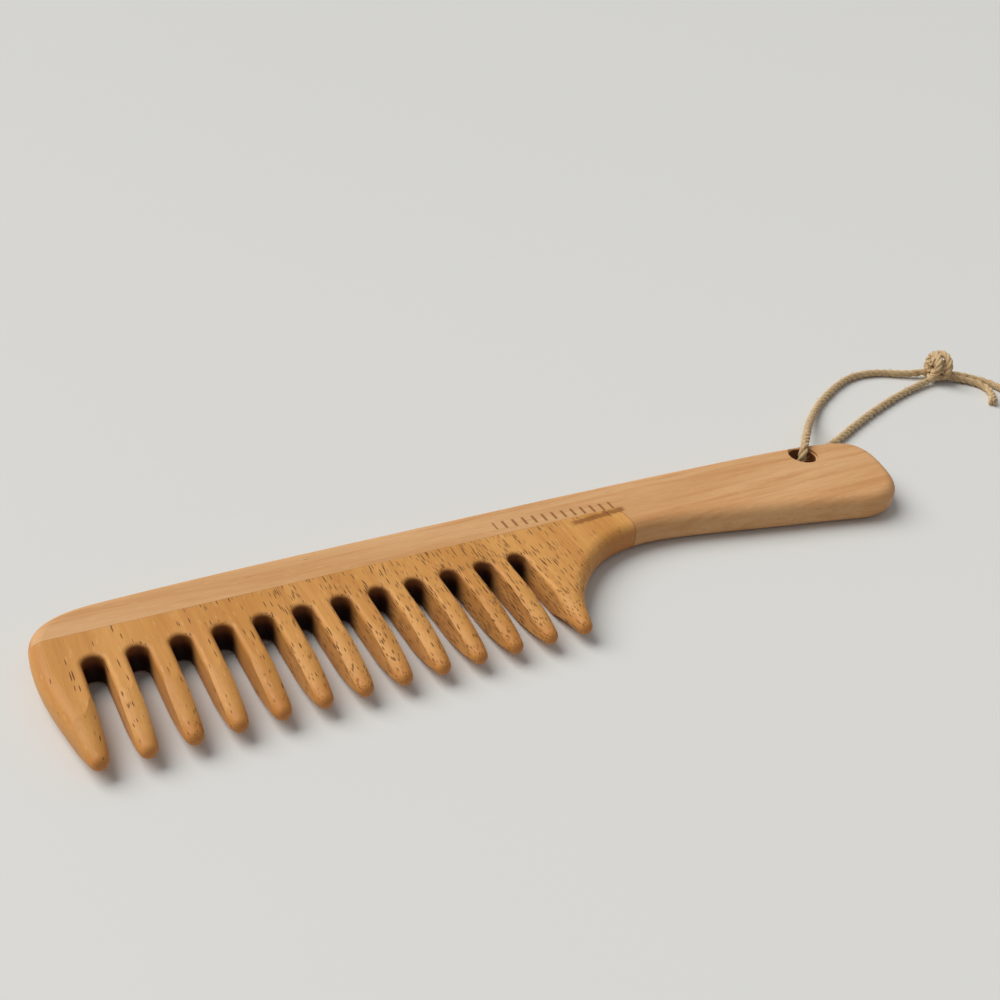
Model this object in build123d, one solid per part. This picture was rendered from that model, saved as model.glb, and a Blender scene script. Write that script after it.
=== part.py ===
from build123d import *
import math
import os

# Wide tooth comb: a beech board with the spine and handle, a beech block with
# 13 teeth let into it, and a knotted twine loop through the handle.
# Millimetres. The comb lies flat: +Z up, handle towards +X, teeth towards -Y.
# The origin is the middle of the wooden comb's box, on its underside.

# Overall size of the wood
LENGTH = 220.7
WIDTH = 44.9
BOARD = 7.5              # thickness of the glued blank
END_THICKNESS = 5.9      # the handle is planed thinner towards its end
EDGE_RADIUS = 2.9        # round-over of the outer edges, both faces

# Teeth and slots
TEETH = 13
PITCH = 8.5
TOOTH_LENGTH = 26.5      # slot root to tooth tip
SLOT_ROOT = 4.1          # slot width at its round root
SLOT_MOUTH = 5.1         # slot width at the tips
SLOT_EDGE = 1.1          # small round-over of the slot edges
FIRST_SLOT = 10.5        # left end of the comb to the first slot's centre line

# Joint between the tooth block and the board
ROOT_TO_JOINT = 7.5      # slot root to the glue line under the spine
BLOCK_LENGTH = 137.5     # left end to the glue line at the handle

# Hanging hole
HOLE_DIAMETER = 7.2
HOLE_X = 89.65
HOLE_Y = 15.45
HOLE_FLARE = 0.5         # the hole's rims are rounded by this much

# Hanging loop: one length of twine through the hole, both ends in one overhand knot
TWINE = 2.2
KNOT_LENGTH = 8.8
KNOT_WIDTH = 11.4
KNOT_HEIGHT = 9.6
KNOT_X = 174.4
KNOT_Y = 47.8
TWINE_MEETING = 4.4      # height in the hole where the loop's two halves meet
LYING = TWINE / 2 + 0.03 # height of the twine's middle where it lies on the table

LEFT = -LENGTH / 2
RIGHT = LENGTH / 2
BACK = WIDTH / 2
TIP = -WIDTH / 2
MID = BOARD / 2
ROOT = TIP + TOOTH_LENGTH
JOINT_Y = ROOT + ROOT_TO_JOINT
JOINT_X = LEFT + BLOCK_LENGTH
PAST_TIP = TIP - 5.0     # the blank runs past the tips before they are shaped
THINNING_START = 20.0    # the handle's faces begin to close in here
THINNING = (BOARD - END_THICKNESS) / 2
THINNED = THINNING * ((HOLE_X - THINNING_START) / (RIGHT - THINNING_START)) ** 2
HOLE_BOTTOM = THINNED
HOLE_TOP = BOARD - THINNED


def outline():
    """Plan of the comb without its slots: one smooth curve round it, open at the tips."""
    with BuildSketch() as sketch:
        with BuildLine():
            Spline(
                (-104.6, PAST_TIP), (-107.3, -15.0), (-109.5, -3.6), (LEFT, 8.1),
                (-108.6, 16.0), (-103.5, 19.8), (-93.6, 21.4), (-71.6, 22.1),
                (-35.6, 22.4), (8.4, BACK), (45.4, 22.2), (72.4, 21.6),
                (90.4, 20.8), (101.9, 19.2), (108.4, 16.2), (RIGHT, 11.1),
                (109.4, 4.6), (107.1, -1.8), (102.8, -6.6), (96.9, -8.4),
                (88.4, -7.3), (68.4, -3.3), (45.4, 1.3), (29.4, 2.9),
                (17.4, 0.3), (7.6, -7.0), (1.2, -15.9), (-1.4, PAST_TIP),
                tangents=((-0.22, 1), (-0.15, -1)),
            )
            Line((-1.4, PAST_TIP), (-104.6, PAST_TIP))
        make_face()
    return sketch.sketch


def side_profile():
    """The blank seen from the front: flat, then thinner along the handle."""
    start = THINNING_START
    with BuildSketch(Plane.XZ) as sketch:
        with BuildLine():
            Line((start, 0), (LEFT - 10, 0))
            Line((LEFT - 10, 0), (LEFT - 10, BOARD))
            Line((LEFT - 10, BOARD), (start, BOARD))
            top = TangentArc((start, BOARD), (RIGHT + 1, BOARD - THINNING), tangent=(1, 0))
            Line(top @ 1, (RIGHT + 1, THINNING))
            TangentArc((start, 0), (RIGHT + 1, THINNING), tangent=(1, 0))
        make_face()
    return extrude(sketch.sketch, amount=2 * WIDTH, both=True)


def is_outer_edge(edge):
    """True for the long edges of the blank's two faces, where it is rounded over."""
    box = edge.bounding_box()
    if box.size.Z > 3 or box.max.Y < PAST_TIP + 0.1:
        return False
    return not (box.size.X < 0.01 and box.size.Z < 0.01)


def rounded_blank():
    """The glued blank with its outer edges rounded over on both faces."""
    blank = extrude(outline(), amount=BOARD) & side_profile()
    edges = blank.edges().filter_by(is_outer_edge)
    return fillet(edges, EDGE_RADIUS)


def slot_cutter(x):
    """One slot between two teeth, with a round root and a slightly wider mouth."""
    half_root = SLOT_ROOT / 2
    half_mouth = SLOT_MOUTH / 2
    past = PAST_TIP - 1
    with BuildSketch() as sketch:
        with BuildLine():
            arc = ThreePointArc(
                (x - half_root, ROOT - half_root), (x, ROOT), (x + half_root, ROOT - half_root)
            )
            Polyline(arc @ 1, (x + half_mouth, past), (x - half_mouth, past), arc @ 0)
        make_face()
    return extrude(sketch.sketch, amount=BOARD)


def is_slot_edge(edge):
    """True for the edges of the slots on the two faces of the comb."""
    box = edge.bounding_box()
    on_face = box.size.Z < 0.01 and (box.max.Z < 0.01 or box.min.Z > BOARD - 0.01)
    in_slot = box.min.Y > PAST_TIP - 0.1 and box.max.Y < ROOT + 0.1 and box.size.Y > 1
    between = box.min.X > LEFT + 6 and box.max.X < -4
    return on_face and in_slot and between


def slotted_blank(slots):
    comb = rounded_blank()
    for x in slots:
        comb -= slot_cutter(x)
    return fillet(comb.edges().filter_by(is_slot_edge), SLOT_EDGE)


def tooth_point(tip_x, lean, form):
    """The turned form that a tooth's end is shaped to, its nose at the tip line.

    form is the nose's radius, the slope in degrees of the flank where it leaves the
    nose, the length of the form, its radius at the back, how far it shapes, and how
    far its nose stops short of the tip line.
    """
    nose, slope, length, back = form[:4]
    short = form[5]
    turn = math.radians(slope)
    meeting = (nose * math.cos(turn), nose - nose * math.sin(turn))
    halfway = math.radians(45 + slope / 2)
    flat = 0.3
    end = nose - math.sqrt(nose ** 2 - flat ** 2)
    with BuildSketch() as sketch:
        with BuildLine():
            ThreePointArc(
                (flat, end), (nose * math.cos(halfway), nose - nose * math.sin(halfway)), meeting
            )
            TangentArc(meeting, (back, length), tangent=(math.sin(turn), math.cos(turn)))
            Polyline((back, length), (0, length), (0, end), (flat, end))
        make_face()
    turned = revolve(sketch.sketch, axis=Axis.Y)
    return Pos(tip_x, TIP + short - end, MID) * Rot(0, 0, lean) * turned


def point_cutter(tip_x, lean, form, left, right):
    """What is taken off round one tooth's end."""
    length = form[4] + TIP - PAST_TIP
    stock = Pos((left + right) / 2, PAST_TIP + length / 2, MID) * Box(right - left, length, BOARD + 4)
    return stock - tooth_point(tip_x, lean, form)


COMMON_TOOTH = (1.75, 12.0, 22.0, 4.3, 21.5, 0.0)
FIRST_TOOTH = (1.8, 13.0, 22.0, 5.9, 21.5, 0.4)
LAST_TOOTH = (1.8, 12.0, 14.0, 6.0, 12.0, 0.0)


def shaped_comb(slots):
    """The whole wooden comb as one form, before it is parted at its glue lines."""
    comb = slotted_blank(slots)
    half = PITCH / 2
    for x in slots[:-1]:
        comb -= point_cutter(x + half, 0, COMMON_TOOTH, x, x + PITCH)
    comb -= point_cutter(slots[0] - half, 5, FIRST_TOOTH, LEFT - 5, slots[0])
    comb -= point_cutter(slots[-1] + half - 0.1, -9, LAST_TOOTH, slots[-1], slots[-1] + 22)
    return comb


def hole_cutter():
    """The hanging hole, with a rounded rim on each face of the thinned handle."""
    radius = HOLE_DIAMETER / 2
    wide = radius + HOLE_FLARE
    waist = radius + HOLE_FLARE * 0.293
    with BuildSketch(Plane.XZ) as sketch:
        with BuildLine():
            Line((0, -1), (0, BOARD + 1))
            Line((0, BOARD + 1), (wide, BOARD + 1))
            Line((wide, BOARD + 1), (wide, HOLE_TOP))
            ThreePointArc(
                (wide, HOLE_TOP), (waist, HOLE_TOP - HOLE_FLARE * 0.293), (radius, HOLE_TOP - HOLE_FLARE)
            )
            Line((radius, HOLE_TOP - HOLE_FLARE), (radius, HOLE_BOTTOM + HOLE_FLARE))
            ThreePointArc(
                (radius, HOLE_BOTTOM + HOLE_FLARE), (waist, HOLE_BOTTOM + HOLE_FLARE * 0.293),
                (wide, HOLE_BOTTOM),
            )
            Line((wide, HOLE_BOTTOM), (wide, -1))
            Line((wide, -1), (0, -1))
        make_face()
    return Pos(HOLE_X, HOLE_Y, 0) * revolve(sketch.sketch, axis=Axis.Z)


def block_region():
    """The space that the tooth block fills, up to the two glue lines."""
    low = (LEFT - 5, PAST_TIP - 5)
    size = (JOINT_X - low[0], JOINT_Y - low[1], BOARD + 4)
    return Pos(low[0] + size[0] / 2, low[1] + size[1] / 2, MID) * Box(*size)


# The routes of the loop's two halves, from where they meet in the hole, through the
# knot, to their cut ends. They lie on the surface that the comb lies on.
UPPER_ROUTE = [
    (HOLE_X, HOLE_Y, TWINE_MEETING), (HOLE_X, HOLE_Y, 8.7), (95.1, 20.9, 8.5),
    (103.8, 29.1, 6.2), (112.9, 37.1, 2.4), (122.4, 44.6, LYING),
    (133.4, 50.9, LYING), (144.9, 56.0, LYING), (155.9, 56.2, LYING),
    (165.4, 51.4, 1.3), (174.6, 48.6, 2.3), (181.7, 45.6, 1.4),
    (187.6, 40.8, LYING), (190.4, 34.4, LYING), (190.0, 27.6, LYING),
]
LOWER_ROUTE = [
    (HOLE_X, HOLE_Y, TWINE_MEETING), (HOLE_X, HOLE_Y, LYING), (90.6, 18.9, LYING),
    (92.7, 22.1, LYING), (97.2, 23.3, LYING), (102.7, 23.0, LYING),
    (108.4, 23.9, LYING), (114.9, 26.6, LYING), (122.2, 29.8, LYING),
    (130.9, 33.5, LYING), (141.9, 37.7, LYING), (153.9, 41.6, LYING),
    (164.9, 44.3, 1.3), (174.4, 45.6, 2.3), (181.0, 43.1, 1.4),
    (185.6, 38.6, LYING), (185.0, 32.2, LYING), (179.6, 27.4, LYING),
]


def corner_radii(route):
    """As large an arc at each point as its two runs allow."""
    points = [Vector(*point) for point in route]
    radii = []
    for before, here, after in zip(points, points[1:], points[2:]):
        turn = (here - before).get_angle(after - here)
        shorter = min((here - before).length, (after - here).length)
        radii.append(0.45 * shorter / math.tan(math.radians(turn) / 2))
    return radii


def twine_half(route, name):
    """One half of the loop as a plain round tube."""
    radii = corner_radii(route)
    path = FilletPolyline(*route, radius=radii)
    section = Plane(origin=path @ 0, z_dir=path % 0) * Circle(TWINE / 2)
    tube = sweep(section, path=path)
    expected = math.pi * (TWINE / 2) ** 2 * path.length
    print(name, "length", round(path.length, 1), "smallest radii", [round(r, 1) for r in sorted(radii)[:4]],
          "volume over section times length", round(tube.volume / expected, 4))
    return tube


def knot():
    """The outer form of the overhand knot that both halves run through."""
    ball = scale(Sphere(1), by=(KNOT_LENGTH / 2, KNOT_WIDTH / 2, KNOT_HEIGHT / 2))
    return Pos(KNOT_X, KNOT_Y, KNOT_HEIGHT / 2 + 0.03) * Rot(0, 0, -18) * ball


def write(shape, name):
    solids = shape.solids()
    part = solids[0] if len(solids) == 1 else Compound(solids)
    part.label = name
    export_step(part, f"parts/{name}.step")
    box = part.bounding_box()
    print(name, "solids", len(solids), "volume", round(part.volume, 1), box)


def main():
    os.makedirs("parts", exist_ok=True)
    slots = [LEFT + FIRST_SLOT + PITCH * i for i in range(TEETH - 1)]
    comb = shaped_comb(slots)
    region = block_region()
    write(comb & region, "tooth_block")
    write(comb - region - hole_cutter(), "handle_and_spine")
    write(twine_half(UPPER_ROUTE, "upper twine"), "hang_cord_upper")
    write(twine_half(LOWER_ROUTE, "lower twine"), "hang_cord_lower")
    write(knot(), "hang_cord_knot")


main()
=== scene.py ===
import math
import random

import bmesh
import bpy
from mathutils import Matrix, Vector


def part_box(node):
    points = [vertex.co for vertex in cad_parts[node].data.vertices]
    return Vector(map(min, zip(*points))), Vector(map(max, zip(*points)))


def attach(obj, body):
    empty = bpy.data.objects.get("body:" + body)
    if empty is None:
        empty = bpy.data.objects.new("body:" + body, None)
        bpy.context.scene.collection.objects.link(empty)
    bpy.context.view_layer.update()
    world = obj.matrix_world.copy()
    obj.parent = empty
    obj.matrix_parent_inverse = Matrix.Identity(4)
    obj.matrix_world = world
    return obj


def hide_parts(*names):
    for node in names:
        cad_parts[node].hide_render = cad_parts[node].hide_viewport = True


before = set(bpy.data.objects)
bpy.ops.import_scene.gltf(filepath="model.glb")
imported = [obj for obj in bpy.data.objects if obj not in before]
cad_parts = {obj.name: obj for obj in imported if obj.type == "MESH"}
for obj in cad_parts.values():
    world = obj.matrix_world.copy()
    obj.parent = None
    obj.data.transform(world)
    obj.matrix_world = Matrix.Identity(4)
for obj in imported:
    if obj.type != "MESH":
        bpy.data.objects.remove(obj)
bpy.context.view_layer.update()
MM = 0.001

# ---------------------------------------------------------------- dimensions, in millimetres
JOINT_Y = 11.55          # glue line under the spine
JOINT_X = 27.15          # glue line at the handle
ROOT_Y = 4.05            # round roots of the slots
FIRST_SLOT_X = -102.2    # left side of the first slot
LAST_SLOT_X = -4.0       # right side of the last slot
HOLE = (89.65, 15.45)
HOLE_RADIUS = 3.6
TWINE = 2.2
LYING = TWINE / 2 + 0.03 # height of the twine's middle where it lies on the table

# The plain burnt mark by the neck
MARK_START = (-5.2, 15.0)
MARK_LENGTH = 31.2
STROKE_GAP = 2.6
ROW_FALL = 0.068         # the row of strokes falls by this much per millimetre
BAND_Y = 8.3
BAND_RISE = 0.08


# ---------------------------------------------------------------- camera
def make_camera():
    yaw, pitch, roll = (math.radians(a) for a in (32.2187, 33.1646, 6.6915))
    look = Vector((math.sin(yaw) * math.cos(pitch), math.cos(yaw) * math.cos(pitch), -math.sin(pitch)))
    level = Vector((math.cos(yaw), -math.sin(yaw), 0))
    upward = level.cross(look)
    right = level * math.cos(roll) + upward * math.sin(roll)
    up = upward * math.cos(roll) - level * math.sin(roll)
    data = bpy.data.cameras.new("camera")
    data.lens = 43.668
    data.sensor_width = 36.0
    data.clip_start = 0.01
    camera = bpy.data.objects.new("camera", data)
    place = Matrix((right, up, -look)).transposed().to_4x4()
    place.translation = Vector((-129.40, -183.15, 167.76)) * MM
    camera.matrix_world = place
    bpy.context.scene.collection.objects.link(camera)
    bpy.context.scene.camera = camera


make_camera()


# ---------------------------------------------------------------- node helpers
class Graph:
    """Short calls for building a material's nodes."""

    def __init__(self, name):
        self.material = bpy.data.materials.new(name)
        self.material.use_nodes = True
        self.tree = self.material.node_tree
        self.tree.nodes.clear()
        self.output = self.tree.nodes.new("ShaderNodeOutputMaterial")
        self.shader = self.tree.nodes.new("ShaderNodeBsdfPrincipled")
        self.tree.links.new(self.shader.outputs[0], self.output.inputs[0])

    def put(self, socket, value):
        if hasattr(value, "is_output"):
            self.tree.links.new(value, socket)
        elif value is not None:
            socket.default_value = value

    def node(self, kind, *values, **settings):
        node = self.tree.nodes.new("ShaderNode" + kind)
        for key, value in settings.items():
            setattr(node, key, value)
        for socket, value in zip(node.inputs, values):
            self.put(socket, value)
        return node

    def math(self, operation, a, b=None, c=None, clamp=False):
        return self.node("Math", a, b, c, operation=operation, use_clamp=clamp).outputs[0]

    def add(self, a, b):
        return self.math("ADD", a, b)

    def mul(self, a, b):
        return self.math("MULTIPLY", a, b)

    def sub(self, a, b):
        return self.math("SUBTRACT", a, b)

    def absolute(self, a):
        return self.math("ABSOLUTE", a)

    def less(self, a, b):
        return self.math("LESS_THAN", a, b)

    def millimetres(self):
        """The place in the object's own frame."""
        place = self.vector("SCALE", self.node("TexCoord").outputs["Object"])
        place.node.inputs["Scale"].default_value = 1000.0
        return place

    def vector(self, operation, a, b=None):
        return self.node("VectorMath", a, b, operation=operation).outputs[0]

    def parts(self, vector):
        return self.node("SeparateXYZ", vector).outputs

    def join(self, x, y, z):
        return self.node("CombineXYZ", x, y, z).outputs[0]

    def step(self, value, low, high, out_low=0.0, out_high=1.0):
        node = self.node("MapRange", interpolation_type="SMOOTHSTEP")
        for socket, item in zip(node.inputs, (value, low, high, out_low, out_high)):
            self.put(socket, item)
        return node.outputs[0]

    def noise(self, vector, scale, detail=2.0, rough=0.5, distortion=0.0):
        node = self.tree.nodes.new("ShaderNodeTexNoise")
        self.put(node.inputs["Vector"], vector)
        node.inputs["Scale"].default_value = scale
        node.inputs["Detail"].default_value = detail
        node.inputs["Roughness"].default_value = rough
        node.inputs["Distortion"].default_value = distortion
        return node.outputs[0]

    def cells(self, vector, randomness=1.0):
        node = self.tree.nodes.new("ShaderNodeTexVoronoi")
        self.put(node.inputs["Vector"], vector)
        node.inputs["Scale"].default_value = 1.0
        node.inputs["Randomness"].default_value = randomness
        return node.outputs["Distance"], node.outputs["Color"]

    def mix(self, factor, a, b, blend="MIX"):
        node = self.tree.nodes.new("ShaderNodeMix")
        node.data_type = "RGBA"
        node.blend_type = blend
        self.put(node.inputs[0], factor)
        self.put(node.inputs[6], a)
        self.put(node.inputs[7], b)
        return node.outputs[2]

    def bump(self, height, strength, distance, normal=None):
        node = self.tree.nodes.new("ShaderNodeBump")
        node.inputs["Strength"].default_value = strength
        node.inputs["Distance"].default_value = distance
        self.put(node.inputs["Height"], height)
        if normal is not None:
            self.put(node.inputs["Normal"], normal)
        return node.outputs[0]


def rgb(red, green, blue):
    """An sRGB colour, 0 to 255, as the linear colour that a shader wants."""
    out = []
    for value in (red, green, blue):
        value /= 255
        out.append(value / 12.92 if value <= 0.04045 else ((value + 0.055) / 1.055) ** 2.4)
    return (*out, 1.0)


# ---------------------------------------------------------------- wood
def streaks(g, run, across, z, seed):
    """Wide tone bands, year-ring streaks, fine fibre and pale flecks, each from 0 to 1."""
    tone_at = g.join(g.mul(run, 0.012), g.add(g.mul(across, 0.09), seed), g.mul(z, 0.1))
    ring_at = g.join(g.mul(run, 0.022), g.add(g.mul(across, 0.55), seed), g.mul(z, 0.35))
    fibre_at = g.join(g.mul(run, 0.16), g.add(g.mul(across, 4.5), seed), g.mul(z, 4.5))
    fleck_at = g.join(g.mul(run, 0.26), g.add(g.mul(across, 1.25), seed + 40), g.mul(z, 1.2))
    tone = g.noise(tone_at, 1.0, 3.0)
    ring = g.noise(ring_at, 1.0, 4.0, 0.6)
    fibre = g.noise(fibre_at, 1.0, 3.0, 0.6)
    size, pick = g.cells(fleck_at)
    fleck = g.mul(g.step(size, 0.12, 0.36, 1.0, 0.0), g.step(g.parts(pick)[2], 0.5, 0.7))
    return tone, ring, fibre, fleck


def pores(g, run, across, z, seed, amount, crowded):
    """Two sizes of dark dash, much longer than wide, crowded in some places and sparse in others."""
    chance_at = g.join(g.mul(run, 0.045), g.mul(across, 0.20), g.add(g.mul(z, 0.15), seed))
    chance = g.noise(chance_at, 1.0, 2.0)
    bar = g.sub(g.add(g.mul(chance, -1.5), 1.62 - amount), crowded)
    pore = 0.0
    for shift, wide, long in ((0.0, 2.3, 0.19), (31.0, 2.9, 0.26)):
        dash_along = g.add(g.mul(run, long), shift)
        dash_across = g.add(g.mul(across, wide), seed + shift)
        size, colour = g.cells(g.join(dash_along, dash_across, g.mul(z, wide * 0.9)))
        pick = g.parts(colour)
        chosen = g.step(pick[0], bar, g.add(bar, 0.06))
        reach = g.add(g.mul(pick[1], 0.18), 0.24)
        dash = g.mul(g.step(g.math("DIVIDE", size, reach), 0.45, 1.0, 1.0, 0.0), chosen)
        pore = g.math("MAXIMUM", dash, pore)
    return pore


def shaped_teeth(g, colour, x, y, z, facing):
    """The teeth's ends drink more oil, and painted shade darkens the round root of each slot, most deep
    in the slot and low down.
    """
    colour = g.mix(g.step(y, -21.5, -16.5, 0.42, 0.0), colour, rgb(184, 112, 50))
    wall = g.step(facing, 0.25, 0.92, 1.0, 0.0)
    among_slots = g.mul(g.less(x, LAST_SLOT_X), g.less(FIRST_SLOT_X, x))
    inside = g.mul(among_slots, g.less(y, ROOT_Y + 1.2))
    deep = g.math("POWER", g.step(y, ROOT_Y - 9.0, ROOT_Y - 1.2), 1.6)
    low = g.step(z, 4.2, 6.6, 1.0, 0.72)
    # painted shade: the slot walls by each root get darker towards the root and towards the table
    root_shade = g.mul(g.mul(wall, inside), g.mul(deep, low))
    root_shade_colour = g.mix(g.step(z, 2.5, 6.5), rgb(34, 15, 8), rgb(84, 36, 14))
    return g.mix(root_shade, colour, root_shade_colour)


def burnt_mark(g, colour, place, x, y, upward):
    """A plain burnt band under a row of short strokes, on the top face by the neck."""
    from_left = g.sub(x, MARK_START[0])
    in_row = g.mul(
        g.step(from_left, -0.4, 0.2),
        g.step(from_left, MARK_LENGTH, MARK_LENGTH + 0.6, 1.0, 0.0),
    )
    stroke = g.step(g.math("PINGPONG", from_left, STROKE_GAP / 2), 0.2, 0.5, 1.0, 0.0)
    off_row = g.absolute(g.add(g.sub(y, MARK_START[1]), g.mul(from_left, ROW_FALL)))
    row = g.mul(g.mul(in_row, stroke), g.step(off_row, 1.25, 1.7, 1.0, 0.0))

    ragged = g.mul(g.sub(g.noise(place, 0.7, 3.0, 0.6), 0.5), 1.6)
    off_band = g.absolute(g.add(g.sub(y, g.add(g.mul(x, BAND_RISE), BAND_Y)), ragged))
    ends = g.mul(g.step(x, 12.0, 14.0), g.step(x, 27.5, 29.0, 1.0, 0.0))
    band = g.mul(ends, g.step(off_band, 0.45, 1.25, 1.0, 0.0))

    on_top = g.step(upward, 0.75, 0.9)
    mark = g.mul(g.math("MAXIMUM", g.mul(row, 0.75), g.mul(band, 0.7)), on_top)
    return g.mix(mark, colour, rgb(126, 74, 26))


def drilled_hole(g, colour, x, y, facing):
    """The wall of the hanging hole is coloured darker."""
    from_middle = g.vector("SUBTRACT", g.join(x, y, 0.0), (*HOLE, 0.0))
    distance = g.node("VectorMath", from_middle, operation="LENGTH").outputs["Value"]
    wall = g.step(facing, 0.4, 0.9, 1.0, 0.0)
    bore = g.mul(g.step(distance, HOLE_RADIUS + 0.15, HOLE_RADIUS + 0.55, 1.0, 0.0), wall)
    return g.mix(g.mul(bore, 0.75), colour, rgb(84, 42, 18))


def glue_lines(g, colour, x, y):
    """The thin dark lines where the tooth block meets the spine and the handle."""
    near_y = g.step(g.absolute(g.sub(y, JOINT_Y)), 0.05, 0.2, 1.0, 0.0)
    near_x = g.step(g.absolute(g.sub(x, JOINT_X)), 0.05, 0.22, 1.0, 0.0)
    spine_line = g.mul(g.mul(near_y, g.less(x, JOINT_X + 0.2)), 0.18)
    handle_line = g.mul(g.mul(near_x, g.less(y, JOINT_Y + 0.2)), 0.45)
    return g.mix(g.math("MAXIMUM", spine_line, handle_line), colour, rgb(126, 74, 38))


def wood(name, along, seed, pore_amount, light, dark):
    """Oiled beech. along is 0 when the grain runs along X and 1 along Y."""
    g = Graph(name)
    place = g.millimetres()
    x, y, z = g.parts(place)
    run, across = (x, y) if along == 0 else (y, x)
    normal = g.parts(g.node("NewGeometry").outputs["Normal"])
    end = g.absolute(normal[along])
    facing = g.absolute(normal[2])

    # slow drift of the grain, so that streaks aren't ruled lines
    drift_at = g.join(g.add(g.mul(run, 0.012), seed), g.mul(across, 0.035), g.mul(z, 0.03))
    across = g.add(across, g.mul(g.sub(g.noise(drift_at, 1.0, 2.0), 0.5), 7.0))

    # the block's pores crowd together in its middle and right teeth
    crowded = 0.0
    if along == 1:
        crowded = g.add(g.step(x, -95.0, -25.0, -0.48, 0.16), g.step(x, -2.0, 14.0, 0.0, -0.6))
    tone, ring, fibre, fleck = streaks(g, run, across, z, seed)
    pore = pores(g, run, across, z, seed, pore_amount, crowded)
    pore = g.mul(pore, g.step(end, 0.5, 0.9, 1.0, 0.0))

    colour = g.mix(g.step(tone, 0.3, 0.7), light, dark)
    colour = g.mix(g.mul(g.step(ring, 0.42, 0.68), 0.42), colour, rgb(186, 120, 60))
    colour = g.mix(g.mul(g.step(fibre, 0.45, 0.75), 0.30), colour, rgb(176, 110, 54))
    colour = g.mix(g.mul(fleck, 0.25), colour, rgb(236, 190, 128))
    colour = g.mix(g.mul(pore, 0.9), colour, rgb(84, 44, 18))

    # end grain drinks more oil
    dots = g.noise(place, 3.2, 2.0, 0.6)
    end_colour = g.mix(g.step(dots, 0.4, 0.65), rgb(198, 134, 74), rgb(178, 112, 58))
    colour = g.mix(g.step(end, 0.55, 1.0, 0.0, 0.85), colour, end_colour)

    if along == 1:
        colour = shaped_teeth(g, colour, x, y, z, facing)
    colour = burnt_mark(g, colour, place, x, y, normal[2])
    if along == 0:
        colour = drilled_hole(g, colour, x, y, facing)
    colour = glue_lines(g, colour, x, y)

    g.put(g.shader.inputs["Base Color"], colour)
    rough = g.add(g.mul(fibre, 0.14), 0.44)
    g.put(g.shader.inputs["Roughness"], g.add(rough, g.mul(pore, 0.2)))
    g.shader.inputs["IOR"].default_value = 1.45
    g.shader.inputs["Specular IOR Level"].default_value = 0.3
    height = g.sub(g.mul(fibre, 0.25), pore)
    g.put(g.shader.inputs["Normal"], g.bump(height, 0.45, 0.00016))
    return g.material


def dress(node, material):
    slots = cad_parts[node].material_slots
    if not slots:
        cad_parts[node].data.materials.append(material)
    for slot in slots:
        slot.material = material


dress("tooth_block", wood("tooth_wood", 1, 3.0, 0.42, rgb(220, 161, 89), rgb(203, 142, 71)))
dress("handle_and_spine", wood("board_wood", 0, 11.0, -0.4, rgb(223, 176, 125), rgb(210, 159, 106)))

# ---------------------------------------------------------------- twine
LAY = 7.5                # length of one full twist of the plies
PLY_OFFSET = 0.54        # a ply's middle to the twine's middle
PLY_RADIUS = 0.60
PLY_STEP = 0.32          # distance between a ply's rings
FRAYED = 5.0             # the plies part over this length before the cut end

# The routes of the two halves of the loop, from the middle of the hole to the cut ends.
UPPER_ROUTE = [
    (89.65, 15.45, 4.4), (89.65, 15.45, 8.7), (95.1, 20.9, 8.5),
    (103.8, 29.1, 6.2), (112.9, 37.1, 2.4), (122.4, 44.6, LYING),
    (133.4, 50.9, LYING), (144.9, 56.0, LYING), (155.9, 56.2, LYING),
    (165.4, 51.4, 1.3), (174.6, 48.6, 2.3), (181.7, 45.6, 1.4),
    (187.6, 40.8, LYING), (190.4, 34.4, LYING), (190.0, 27.6, LYING),
]
LOWER_ROUTE = [
    (89.65, 15.45, 4.4), (89.65, 15.45, LYING), (90.6, 18.9, LYING),
    (92.7, 22.1, LYING), (97.2, 23.3, LYING), (102.7, 23.0, LYING),
    (108.4, 23.9, LYING), (114.9, 26.6, LYING), (122.2, 29.8, LYING),
    (130.9, 33.5, LYING), (141.9, 37.7, LYING), (153.9, 41.6, LYING),
    (164.9, 44.3, 1.3), (174.4, 45.6, 2.3), (181.0, 43.1, 1.4),
    (185.6, 38.6, LYING), (185.0, 32.2, LYING), (179.6, 27.4, LYING),
]


def smooth_path(name, route):
    """Points along the NURBS curve that the route's points control, in metres."""
    data = bpy.data.curves.new(name, "CURVE")
    data.dimensions = "3D"
    data.resolution_u = 24
    spline = data.splines.new("NURBS")
    spline.points.add(len(route) - 1)
    for point, (x, y, z) in zip(spline.points, route):
        point.co = (x * MM, y * MM, z * MM, 1.0)
    spline.order_u = 3
    spline.use_endpoint_u = True
    guide = bpy.data.objects.new(name, data)
    bpy.context.scene.collection.objects.link(guide)
    bpy.context.view_layer.update()
    mesh = bpy.data.meshes.new_from_object(guide)
    points = [vertex.co.copy() for vertex in mesh.vertices]
    bpy.data.meshes.remove(mesh)
    bpy.data.objects.remove(guide)
    return points


def even_points(points, gap):
    """The same line with its points an even distance apart."""
    out = [points[0]]
    carried = 0.0
    for a, b in zip(points, points[1:]):
        run = (b - a).length
        at = gap - carried
        while at <= run:
            out.append(a.lerp(b, at / run))
            at += gap
        carried = run - (at - gap)
    if (out[-1] - points[-1]).length > gap * 0.3:
        out.append(points[-1])
    return out


def frames_along(points):
    """Two directions square to the line at each point, carried without twist."""
    side = Vector((1, 0, 0))
    out = []
    for i in range(len(points)):
        ahead = points[min(i + 1, len(points) - 1)] - points[max(i - 1, 0)]
        ahead.normalize()
        side = side - ahead * side.dot(ahead)
        if side.length < 1e-6:
            side = ahead.orthogonal()
        side.normalize()
        out.append((ahead.copy(), side.copy(), ahead.cross(side)))
    return out


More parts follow.
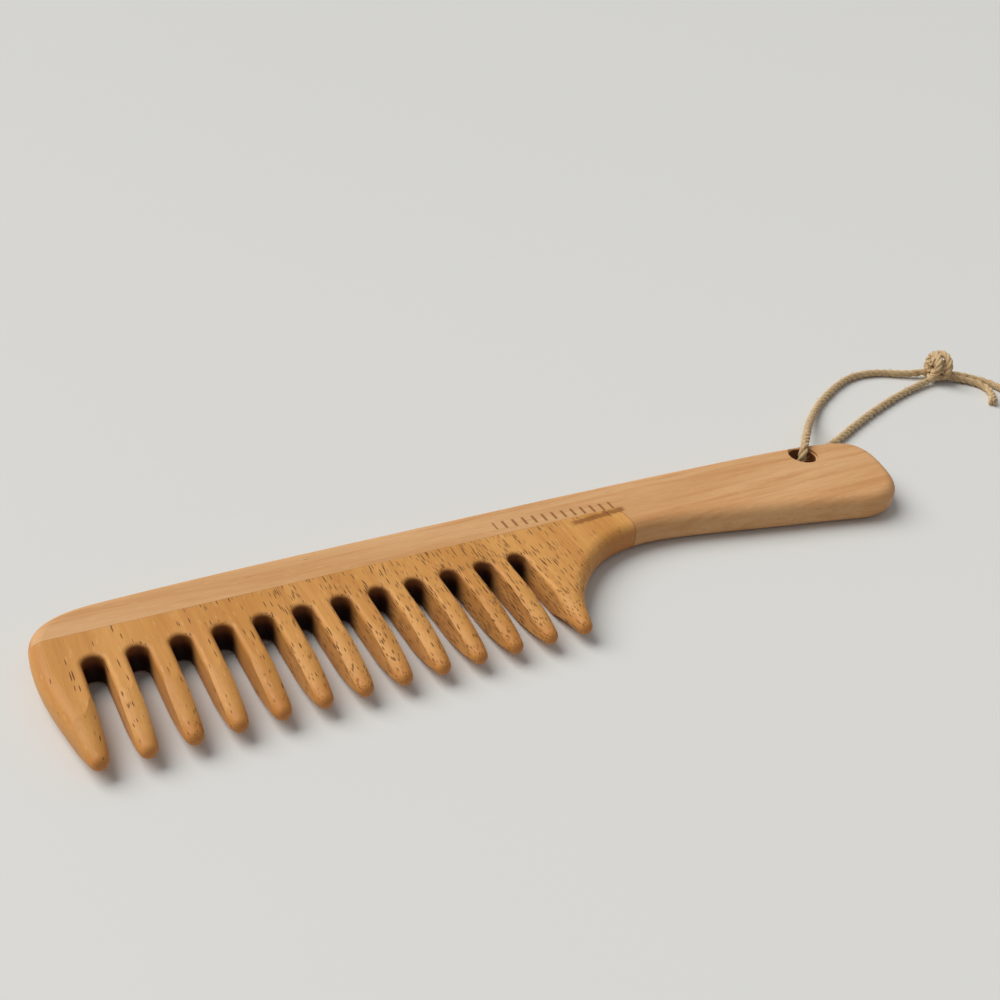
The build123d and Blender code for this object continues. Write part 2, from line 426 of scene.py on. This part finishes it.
def add_tube(mesh, uv, centres, radii, sides, slot=0, start_angle=0.0):
    """A round tube through the centres, closed at both ends, with UVs in millimetres."""
    turned = frames_along(centres)
    rings = []
    for centre, radius, (_, a, b) in zip(centres, radii, turned):
        ring = []
        for k in range(sides):
            angle = start_angle + 2 * math.pi * k / sides
            ring.append(mesh.verts.new(centre + (a * math.cos(angle) + b * math.sin(angle)) * radius))
        rings.append(ring)
    length = 0.0
    for i in range(len(rings) - 1):
        step = (centres[i + 1] - centres[i]).length / MM
        for k in range(sides):
            n = (k + 1) % sides
            face = mesh.faces.new((rings[i][k], rings[i][n], rings[i + 1][n], rings[i + 1][k]))
            face.smooth = True
            face.material_index = slot
            corners = ((k, 0), (k + 1, 0), (k + 1, 1), (k, 1))
            for loop, (u, v) in zip(face.loops, corners):
                loop[uv].uv = (u / sides, length + v * step)
        length += step
    mesh.faces.new(list(reversed(rings[0]))).material_index = slot
    mesh.faces.new(rings[-1]).material_index = slot


def hair(mesh, uv, start, way, length, chance, slot=1):
    """One loose fibre that leaves the yarn."""
    points = [start]
    way = way.normalized()
    for _ in range(4):
        bend = Vector((chance.uniform(-1, 1), chance.uniform(-1, 1), chance.uniform(-1, 1)))
        way = (way + bend * 0.35).normalized()
        points.append(points[-1] + way * length / 4)
        points[-1].z = max(points[-1].z, 0.00008)
    thick = chance.uniform(0.022, 0.04) * MM
    add_tube(mesh, uv, points, [thick, thick, thick * 0.9, thick * 0.8, thick * 0.5], 3, slot)


def squash(where, centre, spot, radius, flat_at):
    """Flattens the twine where the handle lies on it, and returns the ply's new radius."""
    away = (Vector((centre.x, centre.y, 0)) / MM - Vector((*flat_at, 0))).length
    squeeze = math.exp(-(away / 2.3) ** 2) if centre.z < 0.003 else 0.0
    where.z = centre.z * (1 - 0.42 * squeeze) + spot.z * (1 - 0.62 * squeeze)
    where.x = centre.x + spot.x * (1 + 0.5 * squeeze)
    where.y = centre.y + spot.y * (1 + 0.5 * squeeze)
    return radius * (1 - 0.42 * squeeze)


def lay_ply(line, turned, strand, wobble, flat_at):
    """One ply of the twine: its centres, radii and directions along the line."""
    last = len(line) - 1
    out = []
    for i, (centre, (ahead, a, b)) in enumerate(zip(line, turned)):
        along = i * PLY_STEP
        left = (last - i) * PLY_STEP
        sway = 0.25 * math.sin(along * 0.31 + wobble[strand])
        angle = 2 * math.pi * (along / LAY + strand / 3) + sway
        off = PLY_OFFSET * (1 + 0.06 * math.sin(along * 0.8 + wobble[strand + 3]))
        radius = PLY_RADIUS * (1 + 0.05 * math.sin(along * 1.3 + wobble[strand]))
        if left < FRAYED:
            off *= 1 + (FRAYED - left) * 0.16
            radius *= 1 - (FRAYED - left) * 0.05
        spot = (a * math.cos(angle) + b * math.sin(angle)) * off * MM
        where = centre + spot
        if flat_at is not None:
            radius = squash(where, centre, spot, radius, flat_at)
        where.z = max(where.z, radius * MM)
        out.append((where, radius * MM, ahead, (a, b), angle))
    return out


def add_loose_fibres(mesh, uv, surface, count, chance):
    """Fibres that stand off the twine all along it."""
    for _ in range(count):
        where, radius, ahead, (a, b), angle = surface[chance.randrange(len(surface))]
        turn = angle + chance.uniform(-1.1, 1.1)
        out = a * math.cos(turn) + b * math.sin(turn)
        way = out * chance.uniform(0.35, 1.0) + ahead * chance.choice((-1, 1)) * chance.uniform(0.5, 1.2)
        hair(mesh, uv, where + out * radius * 0.85, way, chance.uniform(0.6, 1.6) * MM, chance)


def add_frayed_end(mesh, uv, end, ahead, chance):
    """The brush of fibres at the cut end."""
    for _ in range(46):
        spread = Vector((chance.uniform(-1, 1), chance.uniform(-1, 1), chance.uniform(-0.6, 0.8)))
        start = end + spread * 0.8 * MM - ahead * 0.8 * MM
        start.z = max(start.z, 0.1 * MM)
        hair(mesh, uv, start, ahead + spread * 0.45, chance.uniform(0.9, 2.1) * MM, chance)


def add_object(name, mesh):
    data = bpy.data.meshes.new(name)
    mesh.to_mesh(data)
    mesh.free()
    piece = bpy.data.objects.new(name, data)
    bpy.context.scene.collection.objects.link(piece)
    return piece


def twisted_yarn(name, points, seed, flat_at=None):
    """Three-ply twine along the points, with loose fibres and a frayed end."""
    chance = random.Random(seed)
    mesh = bmesh.new()
    uv = mesh.loops.layers.uv.new("yarn")
    line = even_points(points, PLY_STEP * MM)
    turned = frames_along(line)
    wobble = [chance.uniform(0, 6.28) for _ in range(6)]
    surface = []
    for strand in range(3):
        ply = lay_ply(line, turned, strand, wobble, flat_at)
        add_tube(mesh, uv, [spot[0] for spot in ply], [spot[1] for spot in ply], 12)
        surface += ply
    add_loose_fibres(mesh, uv, surface, int(len(line) * 0.55), chance)
    add_frayed_end(mesh, uv, line[-1], turned[-1][0], chance)
    return add_object(name, mesh)


def jute(name, seed):
    g = Graph(name)
    u, v, _ = g.parts(g.node("TexCoord").outputs["UV"])
    place = g.millimetres()
    slant = g.add(g.mul(u, 9.0), g.mul(v, 2.2))
    streak = g.noise(g.join(slant, g.add(g.mul(v, 0.35), seed), 0.0), 1.0, 4.0, 0.65)
    patch = g.noise(place, 0.22, 3.0, 0.6)
    colour = g.mix(g.step(streak, 0.28, 0.62), rgb(166, 136, 94), rgb(218, 190, 146))
    colour = g.mix(g.mul(g.step(patch, 0.35, 0.7), 0.35), colour, rgb(184, 146, 100))
    g.put(g.shader.inputs["Base Color"], colour)
    g.shader.inputs["Roughness"].default_value = 0.88
    g.shader.inputs["Specular IOR Level"].default_value = 0.2
    g.shader.inputs["Sheen Weight"].default_value = 0.25
    g.shader.inputs["Sheen Roughness"].default_value = 0.5
    g.put(g.shader.inputs["Normal"], g.bump(streak, 0.8, 0.00025))
    return g.material


def fibre_material():
    g = Graph("loose_fibre")
    tint = g.noise(g.millimetres(), 0.8, 2.0)
    g.put(g.shader.inputs["Base Color"], g.mix(tint, rgb(176, 146, 104), rgb(226, 204, 160)))
    g.shader.inputs["Roughness"].default_value = 0.8
    return g.material


twine_material = jute("jute_twine", 2.0)
loose = fibre_material()

upper_points = smooth_path("upper_route", UPPER_ROUTE)
lower_points = smooth_path("lower_route", LOWER_ROUTE)
upper = twisted_yarn("twine_upper_half", upper_points, 5)
lower = twisted_yarn("twine_lower_half", lower_points, 8, flat_at=(90.6, 19.2))


def add_yarn(mesh, uv, line, turns):
    """Three plies twisted round a line, which is in millimetres."""
    count = len(line) - 1
    turned = frames_along(line)
    for ply in range(3):
        centres = []
        for i, (point, (_, a, b)) in enumerate(zip(line, turned)):
            angle = 2 * math.pi * (i / count * turns + ply / 3)
            centres.append((point + (a * math.cos(angle) + b * math.sin(angle)) * PLY_OFFSET) * MM)
        add_tube(mesh, uv, centres, [PLY_RADIUS * MM] * len(centres), 10)


def trefoil(t):
    return Vector((
        -math.sin(3 * t) * 1.5,
        (math.cos(t) - 2 * math.cos(2 * t)) * 0.98,
        (math.sin(t) + 2 * math.sin(2 * t)) * 0.88 - 0.3,
    ))


def wrap(offset, lean, wide, tall):
    """A leaning loop round the knot, as a function of the angle round it."""
    def at(t):
        sideways = offset + lean * math.cos(t) + 0.5 * math.sin(t)
        return Vector((sideways, wide * math.cos(t), tall * math.sin(t)))
    return at


def knot_piece():
    """Overhand knot in the doubled twine: a tight trefoil, two runs through it and two wraps."""
    mesh = bmesh.new()
    uv = mesh.loops.layers.uv.new("yarn")
    low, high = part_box("hang_cord_knot")
    centre = (low + high) / 2 / MM
    turn = Matrix.Rotation(math.radians(-18), 4, "Z")
    around = [2 * math.pi * i / 140 for i in range(141)]
    add_yarn(mesh, uv, [centre + turn @ trefoil(t) for t in around], 7)
    for height in (0.9, -1.3):
        through = [Vector((0.2 * i - 3.0, 0.5 * math.sin(i * 0.2), height)) for i in range(31)]
        add_yarn(mesh, uv, [centre + turn @ point for point in through], 1)
    for loop in (wrap(-1.35, 0.48, 3.75, 3.55), wrap(1.15, -0.66, 4.15, 3.70)):
        add_yarn(mesh, uv, [centre + turn @ loop(t) for t in around], 4)
    return add_object("twine_knot", mesh)


knot = knot_piece()
for piece in (upper, lower, knot):
    piece.data.materials.append(twine_material)
    piece.data.materials.append(loose)
    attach(piece, "root")
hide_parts("hang_cord_upper")
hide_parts("hang_cord_lower")
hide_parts("hang_cord_knot")


# ---------------------------------------------------------------- floor and light
def make_floor():
    data = bpy.data.meshes.new("floor")
    half = 3.0
    corners = [(-half, -half, 0), (half, -half, 0), (half, half, 0), (-half, half, 0)]
    data.from_pydata(corners, [], [(0, 1, 2, 3)])
    floor = bpy.data.objects.new("floor", data)
    bpy.context.scene.collection.objects.link(floor)
    g = Graph("pale_floor")
    g.shader.inputs["Base Color"].default_value = rgb(222, 222, 219)
    g.shader.inputs["Roughness"].default_value = 0.55
    g.shader.inputs["Specular IOR Level"].default_value = 0.25
    data.materials.append(g.material)


make_floor()
sun = bpy.data.lights.new("overhead_softbox", "SUN")
sun.energy = 2.72
sun.angle = math.radians(50)
sun.color = (1.0, 0.985, 0.96)
lamp = bpy.data.objects.new("overhead_softbox", sun)
bpy.context.scene.collection.objects.link(lamp)
lamp.rotation_euler = Vector((-0.60, 0.62, 1.0)).to_track_quat("Z", "Y").to_euler()
world = bpy.data.worlds.new("soft_sky")
world.use_nodes = True
world.node_tree.nodes["Background"].inputs[0].default_value = (0.97, 0.98, 1.0, 1.0)
world.node_tree.nodes["Background"].inputs[1].default_value = 0.29
bpy.context.scene.world = world
bpy.context.scene.view_settings.view_transform = "Standard"
